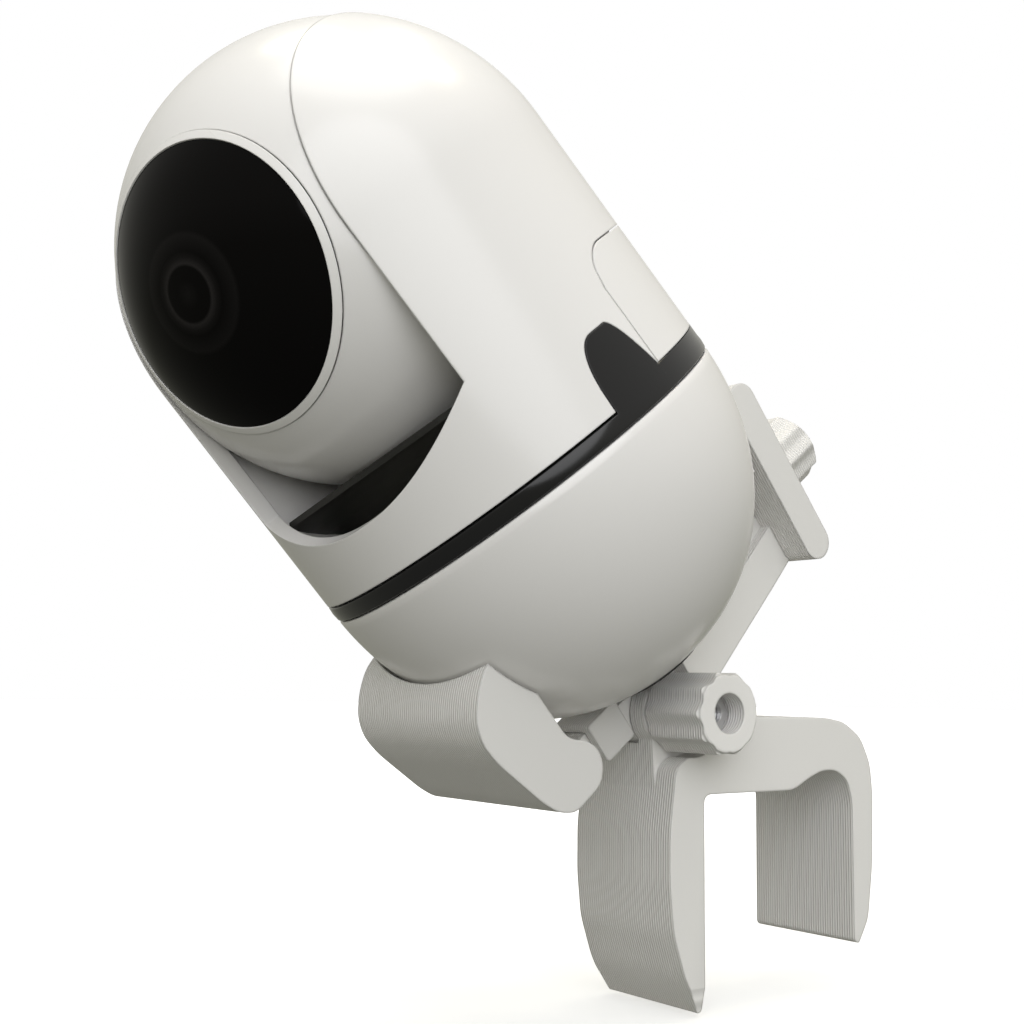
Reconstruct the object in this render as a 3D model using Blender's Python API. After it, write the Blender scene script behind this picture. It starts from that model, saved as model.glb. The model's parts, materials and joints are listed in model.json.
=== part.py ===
"""Pan and tilt baby monitor camera held in a printed crib rail mount. Millimetres in, metres out.

World frame: X along the crib rail, -Y into the crib, +Z up. The origin is on the clip's seat.
Camera frame: origin at the accent ring's centre, +Z up the camera, -Y towards the lens.
Cradle frame: origin on the tilt hinge, +Y along the jaw slider towards the rear jaw, +Z up the camera.
"""
import math

import bmesh
import bpy
from mathutils import Matrix, Vector

MM = 0.001
GAP = 0.3
ROUND = 44

# Camera body
RADIUS = 36.0
HEAD_Z = 42.5
DOME_DEPTH = 39.5
DOME_POWER = 2.1
FOOT_Z = -37.9
WALL = 2.6
BASE_WALL = 2.2
RING_HALF = 1.25
SLOT_HALF = 23.0
CHEEK_WALL = 1.6
LIP_CORNER_Z = HEAD_Z - 25.2
LIP_CENTRE_Z = HEAD_Z - 33.0
BACK_LIP_Z = HEAD_Z - 13.0
PANEL_DEG, PANEL_TOP, BAND_TOP = 82.5, 21.6, 2.8
LOBE_START, LOBE_END, LOBE_TOP = 63.4, 82.0, 12.1
LEAN_DEG = 11.0
HEAD_PITCH_DEG = -10.5
PAN_DEG = 20.0
CAMERA_SHIFT_X = 1.0

# Camera head
HEAD_RADIUS = 35.6
HEAD_WALL = 1.8
HEAD_HALF = 22.6
HEAD_CUT_Z = -35.0
HEAD_SPLIT_Y = 14.0
WINDOW_DEG = 34.2
TRIM_DEG = 36.4
AXLE_R = 2.9

# Drive trains
TILT_MODULE, TILT_TEETH, TILT_PINION_TEETH = 0.6, 24, 10
PAN_MODULE, PAN_TEETH, PAN_PINION_TEETH = 0.8, 40, 10

# Mount
RAIL_DEPTH = 36.0
RAIL_HEIGHT = 32.0
TILT_DEG = 38.5
HINGE_Y, HINGE_Z = -RAIL_DEPTH / 2 - 2.5, 13.2
EAR_R, EAR_IN, EAR_OUT = 6.2, 3.4, 6.8
CLAMP_Y, CLAMP_Z = 1.0, 47.0
KNOB_R, KNOB_LENGTH, KNOB_FLUTES = 6.7, 13.0, 10
BOLT_R, NUT_R = 1.45, 3.05
JAW_HALF = 16.5
REAR_JAW_HALF = 12.0
PAD_TRAVEL = 1.0
SCREW_Z = 16.3
PLATE_Y, PLATE_LOW, PLATE_HIGH, PLATE_R = 41.9, 4.7, 33.9, 3.1
SLIDER_HALF, SLIDER_LOW, SLIDER_HIGH = 2.5, 2.3, 6.5

COLOURS = {
    "white_shell": ((0.83, 0.82, 0.80), 0.28, 0.0),
    "white_trim": ((0.86, 0.85, 0.83), 0.30, 0.0),
    "white_print": ((0.78, 0.77, 0.75), 0.70, 0.0),
    "black_gloss": ((0.012, 0.012, 0.014), 0.08, 0.0),
    "black_liner": ((0.03, 0.03, 0.028), 0.55, 0.0),
    "lens_glass": ((0.05, 0.06, 0.09), 0.04, 0.0),
    "steel": ((0.62, 0.62, 0.63), 0.30, 1.0),
    "brass": ((0.75, 0.60, 0.30), 0.30, 1.0),
    "board_green": ((0.03, 0.18, 0.08), 0.50, 0.0),
    "gear_nylon": ((0.80, 0.78, 0.70), 0.45, 0.0),
    "rubber": ((0.06, 0.06, 0.06), 0.85, 0.0),
}


def clear_scene():
    for obj in list(bpy.data.objects):
        bpy.data.objects.remove(obj, do_unlink=True)


def material(name):
    found = bpy.data.materials.get(name)
    if found:
        return found
    colour, roughness, metallic = COLOURS[name]
    made = bpy.data.materials.new(name)
    made.use_nodes = True
    shader = made.node_tree.nodes["Principled BSDF"]
    shader.inputs["Base Color"].default_value = (*colour, 1.0)
    shader.inputs["Roughness"].default_value = roughness
    shader.inputs["Metallic"].default_value = metallic
    made.diffuse_color = (*colour, 1.0)
    return made


def from_bmesh(name, bm):
    bmesh.ops.remove_doubles(bm, verts=bm.verts, dist=1e-7)
    bmesh.ops.recalc_face_normals(bm, faces=bm.faces)
    mesh = bpy.data.meshes.new(name)
    bm.to_mesh(mesh)
    bm.free()
    obj = bpy.data.objects.new(name, mesh)
    bpy.context.scene.collection.objects.link(obj)
    return obj


def revolve(name, profile, segments=48, closed=False):
    """A solid round Z from (radius, z) points. An open profile starts and ends on the axis."""
    bm = bmesh.new()
    rings = []
    for radius, z in profile:
        if radius < 1e-6:
            rings.append([bm.verts.new((0, 0, z * MM))])
            continue
        turns = [2 * math.pi * i / segments for i in range(segments)]
        around = [(radius * MM * math.cos(t), radius * MM * math.sin(t), z * MM) for t in turns]
        rings.append([bm.verts.new(point) for point in around])
    pairs = list(zip(rings, rings[1:]))
    if closed:
        pairs.append((rings[-1], rings[0]))
    for low, high in pairs:
        for i in range(segments):
            j = (i + 1) % segments
            corners = [low[i % len(low)], low[j % len(low)], high[j % len(high)], high[i % len(high)]]
            unique = list(dict.fromkeys(corners))
            if len(unique) > 2:
                bm.faces.new(unique)
    return from_bmesh(name, bm)


def prism(name, outline, low, high, axis="X"):
    """A polygon in the two other axes, in X, Y, Z order, extruded along axis from low to high."""
    bm = bmesh.new()
    slot = "XYZ".index(axis)

    def point(pair, along):
        values = list(pair)
        values.insert(slot, along)
        return Vector(values) * MM

    bottom = [bm.verts.new(point(pair, low)) for pair in outline]
    top = [bm.verts.new(point(pair, high)) for pair in outline]
    bm.faces.new(bottom)
    bm.faces.new(top)
    for i in range(len(outline)):
        j = (i + 1) % len(outline)
        bm.faces.new((bottom[i], bottom[j], top[j], top[i]))
    return from_bmesh(name, bm)


def box(name, low, high):
    outline = [(low[1], low[2]), (high[1], low[2]), (high[1], high[2]), (low[1], high[2])]
    return prism(name, outline, low[0], high[0], "X")


def circle(radius, segments, centre=(0.0, 0.0)):
    turns = [2 * math.pi * i / segments for i in range(segments)]
    return [(centre[0] + radius * math.cos(t), centre[1] + radius * math.sin(t)) for t in turns]


def rod(name, radius, low, high, axis="X", centre=(0.0, 0.0), segments=24):
    return prism(name, circle(radius, segments, centre), low, high, axis)


def combine(obj, other, operation):
    """Applies one exact Boolean and removes the other object."""
    modifier = obj.modifiers.new(operation.lower(), "BOOLEAN")
    modifier.operation = operation
    modifier.solver = "EXACT"
    modifier.object = other
    graph = bpy.context.evaluated_depsgraph_get()
    mesh = bpy.data.meshes.new_from_object(obj.evaluated_get(graph))
    obj.modifiers.clear()
    obj.data = mesh
    bpy.data.objects.remove(other, do_unlink=True)
    return obj


def cut(obj, *others):
    for other in others:
        combine(obj, other, "DIFFERENCE")
    return obj


def join(obj, *others):
    for other in others:
        combine(obj, other, "UNION")
    return obj


def keep(obj, other):
    return combine(obj, other, "INTERSECT")


def transformed(obj, matrix):
    obj.data.transform(matrix)
    return obj


def shade(obj, angle_deg=32.0):
    bm = bmesh.new()
    bm.from_mesh(obj.data)
    for face in bm.faces:
        face.smooth = True
    for edge in bm.edges:
        edge.smooth = len(edge.link_faces) == 2 and edge.calc_face_angle(0.0) < math.radians(angle_deg)
    bm.to_mesh(obj.data)
    bm.free()


def finish(obj, name, slot, parent=None):
    """Names, paints and shades a node, and hangs it on its frame."""
    obj.name = name
    obj.data.name = name
    obj.data.materials.clear()
    obj.data.materials.append(material(slot))
    shade(obj)
    obj.parent = parent
    return obj


def frame(name, matrix, parent=None):
    empty = bpy.data.objects.new(name, None)
    bpy.context.scene.collection.objects.link(empty)
    empty.parent = parent
    empty.matrix_local = matrix
    return empty


def move(x, y, z):
    return Matrix.Translation(Vector((x, y, z)) * MM)


def turn(degrees, axis):
    return Matrix.Rotation(math.radians(degrees), 4, axis)


def arc(radius, start_deg, end_deg, steps, centre_z=0.0):
    """(radius, z) points on a circle about (0, centre_z), by angle up from the equator."""
    turns = [math.radians(start_deg + (end_deg - start_deg) * i / steps) for i in range(steps + 1)]
    return [(max(0.0, radius * math.cos(t)), centre_z + radius * math.sin(t)) for t in turns]


def dome_radius(z, grow=0.0):
    """The base's outer radius at a depth z below the ring."""
    share = min(1.0, abs(z) / (DOME_DEPTH + grow))
    return (RADIUS + grow) * (1 - share**DOME_POWER) ** (1 / DOME_POWER)


def dome_points(top, bottom, steps, grow=0.0):
    """(radius, z) points down the base's outside, closer together where it curves in."""
    shares = [math.sin(math.pi / 2 * i / steps) for i in range(steps + 1)]
    return [(dome_radius(top + (bottom - top) * s, grow), top + (bottom - top) * s) for s in shares]


def arc_strip(name, angles_deg, inner, outer, low, tops):
    """A curved wall. tops gives its height at each angle, counted round from the front."""
    bm = bmesh.new()
    sections = []
    for angle, top in zip(angles_deg, tops):
        side, front = math.sin(math.radians(angle)), -math.cos(math.radians(angle))
        ring = [(inner, low), (outer, low), (outer, top), (inner, top)]
        sections.append([bm.verts.new(Vector((r * side, r * front, z)) * MM) for r, z in ring])
    bm.faces.new(sections[0])
    bm.faces.new(sections[-1])
    for first, second in zip(sections, sections[1:]):
        for i in range(4):
            j = (i + 1) % 4
            bm.faces.new((first[i], first[j], second[j], second[i]))
    return from_bmesh(name, bm)


def gear_outline(teeth, module, phase_deg=0.0):
    """Straight-flanked teeth with running backlash."""
    pitch = teeth * module / 2
    levels = ((pitch - 1.3 * module, 0.62), (pitch + 0.8 * module, 0.24))
    step = 2 * math.pi / teeth
    outline = []
    for tooth in range(teeth):
        middle = tooth * step + math.radians(phase_deg)
        for radius, share in levels:
            turn_at = middle - step * share / 2
            outline.append((radius * math.cos(turn_at), radius * math.sin(turn_at)))
        for radius, share in reversed(levels):
            turn_at = middle + step * share / 2
            outline.append((radius * math.cos(turn_at), radius * math.sin(turn_at)))
    return outline


def fluted_knob(name, bore_r, recess_r, recess_depth):
    """A hand knob along +X from 0, fluted round its rim, with a fastener seat in its outer end."""
    per_flute = 4
    outline = []
    for i in range(KNOB_FLUTES * per_flute):
        phase = (i % per_flute) / per_flute
        radius = KNOB_R - 0.75 * math.sin(math.pi * phase) ** 1.4
        at = 2 * math.pi * i / (KNOB_FLUTES * per_flute)
        outline.append((radius * math.cos(at), radius * math.sin(at)))
    knob = prism(name, outline, 0, KNOB_LENGTH, "X")
    ends = revolve("ends", [(0, -1), (KNOB_R - 1.7, -1), (KNOB_R + 1.3, 2.0), (KNOB_R + 1.3, KNOB_LENGTH - 2.0),
                            (KNOB_R - 1.7, KNOB_LENGTH + 1), (0, KNOB_LENGTH + 1)], 40)
    keep(knob, transformed(ends, turn(90, "Y")))
    cut(knob, rod("bore", bore_r, -1, KNOB_LENGTH + 1, "X", segments=20))
    cut(knob, rod("seat", recess_r, KNOB_LENGTH - recess_depth, KNOB_LENGTH + 1, "X", segments=24))
    return knob


def camera_interior(name, grow, low):
    profile = [(0, low), (RADIUS + grow, low), (RADIUS + grow, HEAD_Z)]
    profile += arc(RADIUS + grow, 0, 90, 7, HEAD_Z)[1:]
    return revolve(name, profile, ROUND)


def lip_outline(growth=0.0):
    """The head opening seen from the front: the U-shaped lower lip and the open top."""
    half = SLOT_HALF + growth
    steps = 10
    points = [(-half, RADIUS * 3), (-half, LIP_CORNER_Z)]
    for i in range(1, steps):
        t = -1 + 2 * i / steps
        points.append((half * t, LIP_CENTRE_Z + (LIP_CORNER_Z - LIP_CENTRE_Z) * abs(t) ** 2.2))
    return points + [(half, LIP_CORNER_Z), (half, RADIUS * 3)]


def panel_tops(angles_deg, edge_deg, top):
    """The rear panel's top edge, with a rounded corner at each end."""
    corner = 6.0
    heights = []
    for angle in angles_deg:
        run = (angle - edge_deg if angle < 180 else 360 - edge_deg - angle) * math.pi / 180 * RADIUS
        drop = max(0.0, 1 - max(0.0, run) / corner)
        heights.append(top - corner * (1 - math.sqrt(max(0.0, 1 - drop * drop))))
    return heights


def lobe_tops(angles_deg, start_deg, end_deg, top):
    """The ring lobe's rounded top: steep at the front, sloping down along the rear panel."""
    heights = []
    for angle in angles_deg:
        share = (angle - start_deg) / (end_deg - start_deg)
        front = (1 - max(0.0, 1 - share / 0.4) ** 2.6) ** (1 / 2.6)
        back = 1 - 0.8 * (max(0.0, share - 0.62) / 0.38) ** 1.7
        heights.append(max(RING_HALF, top * min(front, back)))
    return heights


def spread(start, end, steps):
    return [start + (end - start) * i / steps for i in range(steps + 1)]


def mirrored_angles(angles_deg):
    return [360 - angle for angle in reversed(angles_deg)]


def build_hood(camera):
    """The upper shell: capsule wall, two cheeks with inner walls, the head slot and the recesses."""
    hood = camera_interior("hood", 0.0, RING_HALF + GAP)
    hollow = camera_interior("hollow", -WALL, -1)
    for side in (-1, 1):
        low, high = sorted((side * SLOT_HALF, side * (SLOT_HALF + CHEEK_WALL)))
        cut(hollow, box("cheek", (low, -40, 8.0), (high, 40, 100)))
    cut(hood, hollow)
    cut(hood, prism("front_slot", lip_outline(), -60, 0, "Y"))
    cut(hood, box("back_slot", (-SLOT_HALF, -1, BACK_LIP_Z), (SLOT_HALF, 60, 120)))
    edge = PANEL_DEG
    angles = spread(edge - 0.55, 360 - edge + 0.55, 36)
    tops = panel_tops(angles, edge - 0.55, PANEL_TOP + 0.35)
    cut(hood, arc_strip("recess", angles, RADIUS - 1.65, RADIUS + 1, -1, tops))
    lobe = spread(LOBE_START - 0.6, LOBE_END + 0.6, 14)
    tops = [top + GAP for top in lobe_tops(lobe, LOBE_START - 0.6, LOBE_END + 0.6, LOBE_TOP)]
    cut(hood, arc_strip("lobe_cut", lobe, RADIUS - 2.0, RADIUS + 1, -1, tops))
    cut(hood, arc_strip("lobe_cut", mirrored_angles(lobe), RADIUS - 2.0, RADIUS + 1, -1, tops[::-1]))
    cut(hood, rod("axle_hole", AXLE_R + 0.09, -27, 27, "X", (0.0, HEAD_Z), 28))
    finish(hood, "upper_shell", "white_shell", camera)
    angles = spread(edge, 360 - edge, 36)
    tops = panel_tops(angles, edge, PANEL_TOP)
    panel = arc_strip("panel", angles, RADIUS - 1.35, RADIUS, BAND_TOP + GAP, tops)
    finish(panel, "rear_panel", "white_shell", camera)


def build_ring(camera):
    """The black band, with the lobe each side that rises in front of the rear panel."""
    profile = [(30.5, -RING_HALF), (RADIUS, -RING_HALF), (RADIUS + 0.15, 0)]
    profile += [(RADIUS, RING_HALF), (30.5, RING_HALF)]
    ring = revolve("ring", profile, ROUND, closed=True)
    lobe = spread(LOBE_START, LOBE_END, 14)
    tops = lobe_tops(lobe, LOBE_START, LOBE_END, LOBE_TOP)
    join(ring, arc_strip("lobe", lobe, RADIUS - 1.7, RADIUS + 0.05, 0.2, tops))
    join(ring, arc_strip("lobe", mirrored_angles(lobe), RADIUS - 1.7, RADIUS + 0.05, 0.2, tops[::-1]))
    back = spread(LOBE_END - 1.0, 361.0 - LOBE_END, 30)
    join(ring, arc_strip("rear_band", back, RADIUS - 1.4, RADIUS + 0.02, 0.2, [BAND_TOP] * len(back)))
    finish(ring, "accent_ring", "black_gloss", camera)


def build_pan_drive(camera):
    """The turntable and its gear turn on the base's spindle; the motor's pinion drives them."""
    low = -RING_HALF - GAP
    table = revolve("table", [(5.0, low - 1.8), (31.0, low - 1.8), (31.0, low), (5.0, low)], 32, closed=True)
    finish(table, "pan_turntable", "gear_nylon", camera)
    gear = prism("gear", gear_outline(PAN_TEETH, PAN_MODULE), -8.2, low - 1.8 - GAP, "Z")
    cut(gear, rod("bore", 4.1, -20, 20, "Z", segments=32))
    finish(gear, "pan_gear", "gear_nylon", camera)
    profile = [(0, -35.0), (7.5, -35.0), (7.5, -33.0), (4.0, -32.0), (4.0, -3.0), (0, -3.0)]
    spindle = revolve("spindle", profile, 32)
    finish(spindle, "pan_spindle", "steel", camera)
    centre = (PAN_TEETH + PAN_PINION_TEETH) * PAN_MODULE / 2 + 0.12
    shaft = frame("pan_pinion_axis", move(0, centre, 0), camera)
    outline = gear_outline(PAN_PINION_TEETH, PAN_MODULE, 270 + 180 / PAN_PINION_TEETH)
    pinion = prism("pinion", outline, -8.2, -4.2, "Z")
    cut(pinion, rod("bore", 1.3, -20, 20, "Z", segments=16))
    finish(pinion, "pan_pinion", "brass", shaft)
    motor = revolve("motor", [(0, -18.5), (7.6, -18.5), (7.6, -9.4), (2.6, -9.4), (2.6, -8.6), (1.2, -8.6), (1.2, -4.4),
                              (0, -4.4)], 28)
    finish(motor, "pan_motor", "steel", shaft)


def build_base(camera):
    """The white dome under the ring, and what it holds."""
    top = -RING_HALF - GAP
    outside = dome_points(top, FOOT_Z, 8)
    inside = [(radius - BASE_WALL, z) for radius, z in dome_points(top, -35.4, 5)]
    inside[-1] = (8.7, -35.4)
    shell = revolve("base", [(8.7, FOOT_Z)] + outside[::-1] + inside, ROUND, closed=True)
    cut(shell, box("inlet", (-40, -4.9, -17.0), (-25, 4.9, -12.0)))
    hole = rod("reset_hole", 1.9, -40, -25, "X", (0.0, -14.5), 20)
    cut(shell, transformed(hole, turn(28, "Z")))
    finish(shell, "base_shell", "white_shell", camera)
    cap = revolve("cap", [(0, FOOT_Z), (8.4, FOOT_Z), (8.4, -35.6), (0, -35.6)], 36)
    finish(cap, "bottom_cap", "white_shell", camera)
    profile = [(3.5, FOOT_Z - 1.1), (8.2, FOOT_Z - 1.1), (8.2, FOOT_Z - GAP), (3.5, FOOT_Z - GAP)]
    pad = revolve("pad", profile, 36, closed=True)
    finish(pad, "foot_pad", "rubber", camera)
    socket = box("socket", (-32.8, -4.5, -16.7), (-24.5, 4.5, -12.3))
    cut(socket, box("mouth", (-40, -3.9, -15.7), (-27.0, 3.9, -13.3)))
    finish(socket, "usb_socket", "steel", camera)
    board = rod("board", 20.5, -25.2, -23.7, "Z", segments=40)
    cut(board, rod("hole", 4.6, -40, 0, "Z", segments=24))
    finish(board, "main_board", "board_green", camera)
    speaker = revolve("speaker", [(0, -22.8), (9.0, -22.8), (9.0, -19.5), (6.0, -16.5), (0, -16.5)], 28)
    finish(transformed(speaker, move(8.0, -15.0, 0)), "speaker", "black_liner", camera)
    axis = frame("reset_axis", turn(28, "Z") @ move(0, 0, -14.5), camera)
    button = rod("button", 1.6, -33.1, -27.5, "X", segments=20)
    join(button, rod("collar", 2.6, -29.2, -27.5, "X", segments=20))
    finish(button, "reset_button", "black_liner", axis)


def build_tilt_drive(camera, head):
    """Axles on the head turn in the cheek walls. The right one carries the driven gear."""
    inner = HEAD_HALF - 1.5
    left = rod("axle", AXLE_R, -27.4, -inner, "X", segments=28)
    finish(left, "tilt_axle_left", "steel", head)
    right = rod("axle", AXLE_R, inner, 28.4, "X", segments=28)
    finish(right, "tilt_axle_right", "steel", head)
    gear = prism("gear", gear_outline(TILT_TEETH, TILT_MODULE, -HEAD_PITCH_DEG), 25.5, 27.8, "X")
    cut(gear, rod("bore", AXLE_R + 0.05, 20, 30, "X", segments=28))
    finish(gear, "tilt_gear", "gear_nylon", head)
    centre = (TILT_TEETH + TILT_PINION_TEETH) * TILT_MODULE / 2 + 0.1
    shaft = frame("tilt_pinion_axis", move(0, 0, HEAD_Z - centre), camera)
    phase = 90 + 180 / TILT_PINION_TEETH
    pinion = prism("pinion", gear_outline(TILT_PINION_TEETH, TILT_MODULE, phase), 25.5, 27.8, "X")
    cut(pinion, rod("bore", 1.05, 20, 30, "X", segments=16))
    finish(pinion, "tilt_pinion", "brass", shaft)
    motor = rod("motor", 6.4, 28.4, 32.2, "X", segments=28)
    join(motor, rod("stub", 0.95, 25.6, 28.8, "X", segments=16))
    finish(motor, "tilt_motor", "steel", shaft)
    turns = [math.radians(angle) for angle in spread(-42, 42, 16)]
    liner = [(36.4 * math.sin(t), HEAD_Z - 36.4 * math.cos(t)) for t in turns]
    liner += [(37.6 * math.sin(t), HEAD_Z - 37.6 * math.cos(t)) for t in reversed(turns)]
    well = prism("well", liner, -22.0, 22.0, "X")
    keep(well, revolve("inside", [(0, 2), (RADIUS - WALL - GAP, 2), (RADIUS - WALL - GAP, 40), (0, 40)], ROUND))
    finish(well, "head_well_liner", "black_liner", camera)
    antenna = box("antenna", (-8, 30.2, 13.5), (8, 31.3, 19.0))
    join(antenna, box("stem", (-3, 29.4, 5.0), (3, 31.0, 14.5)))
    finish(antenna, "wifi_antenna", "board_green", camera)


def head_ball(name, radius, half, low):
    ball = revolve(name, arc(radius, -90, 90, 16), 32)
    keep(ball, box("slab", (-half, -60, low), (half, 60, 60)))
    return ball


def build_head(head):
    """The flat-sided ball in two shells, with the window and its trim in front."""
    to_front = turn(90, "X")
    for name, low, high in (("head_front_shell", -60, HEAD_SPLIT_Y), ("head_rear_shell", HEAD_SPLIT_Y + GAP, 60)):
        shell = head_ball("shell", HEAD_RADIUS, HEAD_HALF, HEAD_CUT_Z)
        cut(shell, head_ball("hollow", HEAD_RADIUS - HEAD_WALL, HEAD_HALF - 1.5, HEAD_CUT_Z + 1.6))
        keep(shell, box("half", (-60, low, -60), (60, high, 60)))
        if high == HEAD_SPLIT_Y:
            hole = HEAD_RADIUS * math.sin(math.radians(TRIM_DEG)) + 0.25
            cut(shell, rod("window_hole", hole, -60, -10, "Y", segments=ROUND))
            cut(shell, rod("axle_hole", AXLE_R + 0.06, -30, 30, "X", segments=28))
        finish(shell, name, "white_shell", head)
    outer = arc(HEAD_RADIUS, 90, 90 - WINDOW_DEG, 5)
    inner = arc(HEAD_RADIUS - 1.4, 90 - WINDOW_DEG, 90, 3)
    window = revolve("window", outer + inner, ROUND)
    finish(transformed(window, to_front), "face_window", "black_gloss", head)
    start = WINDOW_DEG + 0.5
    outer = arc(HEAD_RADIUS + 0.2, 90 - start, 90 - TRIM_DEG, 2)
    inner = arc(HEAD_RADIUS - 2.0, 90 - TRIM_DEG, 90 - start, 2)
    trim = revolve("trim", outer + inner, ROUND, closed=True)
    finish(transformed(trim, to_front), "face_trim_ring", "white_trim", head)
    board = rod("ir", 17.5, -26.6, -25.4, "Y", segments=36)
    cut(board, rod("hole", 8.3, -40, 0, "Y", segments=28))
    for i in range(8):
        at = 2 * math.pi * (i + 0.5) / 8
        join(board, rod("led", 1.3, -27.8, -26.0, "Y", (13.0 * math.cos(at), 13.0 * math.sin(at)), 10))
    finish(board, "ir_led_board", "board_green", head)
    profile = [(6.0, 16.5), (8.0, 16.5), (8.0, 24.0), (7.0, 24.5), (7.0, 29.6), (6.0, 29.6)]
    barrel = revolve("barrel", profile, 32, closed=True)
    finish(transformed(barrel, to_front), "lens_barrel", "black_liner", head)
    lens = revolve("lens", [(0, 25.5), (5.7, 25.5), (5.7, 28.6)] + [(5.7 * math.cos(t), 28.6 + 1.6 * math.sin(t))
                            for t in map(math.radians, (18, 36, 54, 72))] + [(0, 30.2)], 28)
    finish(transformed(lens, to_front), "lens_front_element", "lens_glass", head)
    sensor = box("sensor", (-11, -16.1, -11), (11, -14.7, 11))
    join(sensor, box("chip", (-4, -18.0, -4), (4, -16.0, 4)))
    finish(sensor, "image_sensor_board", "board_green", head)


def camera_clearance(grow):
    """The base dome and a shaft up from it, as the cradle pieces must leave them."""
    profile = [(0, FOOT_Z - 1.5), (9.0, FOOT_Z - 1.5)] + dome_points(0, FOOT_Z - 0.2, 8, grow)[::-1]
    profile += [(RADIUS + grow, 70), (0, 70)]
    return revolve("clearance", profile, ROUND)


def build_cradle(cradle, to_cradle):
    """The hub tongue, the slider socket, the arm under the dome and the rear jaw plate."""
    body = rod("hub", EAR_R, -3.1, 3.1, "X", segments=36)
    join(body, box("neck", (-3.1, -7.6, 0.4), (3.1, -1.0, 6.0)))
    socket = box("socket", (-4.4, -14.0, 0.8), (4.4, -6.95, 7.9))
    low = (-SLIDER_HALF - 0.25, -20, SLIDER_LOW - 0.25)
    cut(socket, box("channel", low, (SLIDER_HALF + 0.25, -8.1, SLIDER_HIGH + 0.25)))
    join(body, socket)
    root = [(-0.5, -4.5), (8.5, -3.2), (8.5, 6.3), (-1.0, 6.1)]
    join(body, prism("root", root, -3.1, 3.1, "X"))
    arm = [(7.2, -3.3), (20.0, -0.8), (33.0, 1.7), (43.0, 3.8)]
    arm += [(40.5, 11.0), (30.0, 8.9), (18.0, 6.8), (7.2, 5.4)]
    join(body, prism("arm", arm, -6.4, 6.4, "X"))
    web = [(10.0, 4.0), (38.0, 9.0), (40.5, 10.5), (40.5, 12.9), (30.0, 12.5), (20.0, 10.5), (10.0, 7.0)]
    join(body, prism("web", web, -4.4, 4.4, "X"))
    rounding = []
    for end_z, first in ((PLATE_LOW, 180), (PLATE_HIGH, 0)):
        for angle in spread(first, first + 180, 8):
            turn_at = math.radians(angle)
            rounding.append((PLATE_Y + PLATE_R * math.cos(turn_at), end_z + PLATE_R * math.sin(turn_at)))
    join(body, prism("plate", rounding, -REAR_JAW_HALF, REAR_JAW_HALF, "X"))
    cut(body, transformed(camera_clearance(0.4), to_cradle))
    cut(body, rod("pivot_bore", BOLT_R + 0.08, -20, 20, "X", segments=24))
    cut(body, rod("screw_bore", BOLT_R + 0.08, 34, 60, "Y", (0.0, SCREW_Z), 24))
    finish(body, "cradle_frame", "white_print", cradle)


def build_pad(cradle, to_cradle):
    """The pressure pad between the rear jaw and the dome."""
    back = PLATE_Y - PLATE_R - PAD_TRAVEL - 0.35
    pad = box("pad", (-REAR_JAW_HALF + 0.8, 26.0, 22.5), (REAR_JAW_HALF - 0.8, back, 34.6))
    join(pad, box("stem", (-4.2, 20.0, 13.3), (4.2, back, 24.5)))
    cut(pad, transformed(camera_clearance(0.4), to_cradle))
    finish(pad, "pressure_pad", "white_print", cradle)


def build_front_jaw(cradle, to_cradle):
    """The front jaw with its slider bar in one print."""
    side = [(-28.1, 33.5), (-31.1, 32.7), (-34.1, 30.6), (-36.7, 27.7), (-37.7, 24.5), (-37.3, 20.7)]
    side += [(-34.5, 11.1), (-33.1, 8.1), (-30.7, 6.1), (-24.6, 6.3), (-22.6, 8.1), (-21.8, 10.5)]
    side += [(-22.6, 12.9), (-25.4, 15.5), (-26.1, 32.7)]
    jaw = prism("jaw", side, -JAW_HALF, JAW_HALF, "X")
    bar = [(-29.0, SLIDER_LOW + 4.6), (-29.0, SLIDER_HIGH + 5.6), (-24.5, SLIDER_HIGH + 4.4), (-17.4, SLIDER_HIGH),
           (-8.5, SLIDER_HIGH), (-8.5, SLIDER_LOW), (-19.5, SLIDER_LOW)]
    join(jaw, prism("bar", bar, -SLIDER_HALF, SLIDER_HALF, "X"))
    cut(jaw, transformed(camera_clearance(0.4), to_cradle))
    finish(jaw, "front_jaw", "white_print", cradle)


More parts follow.
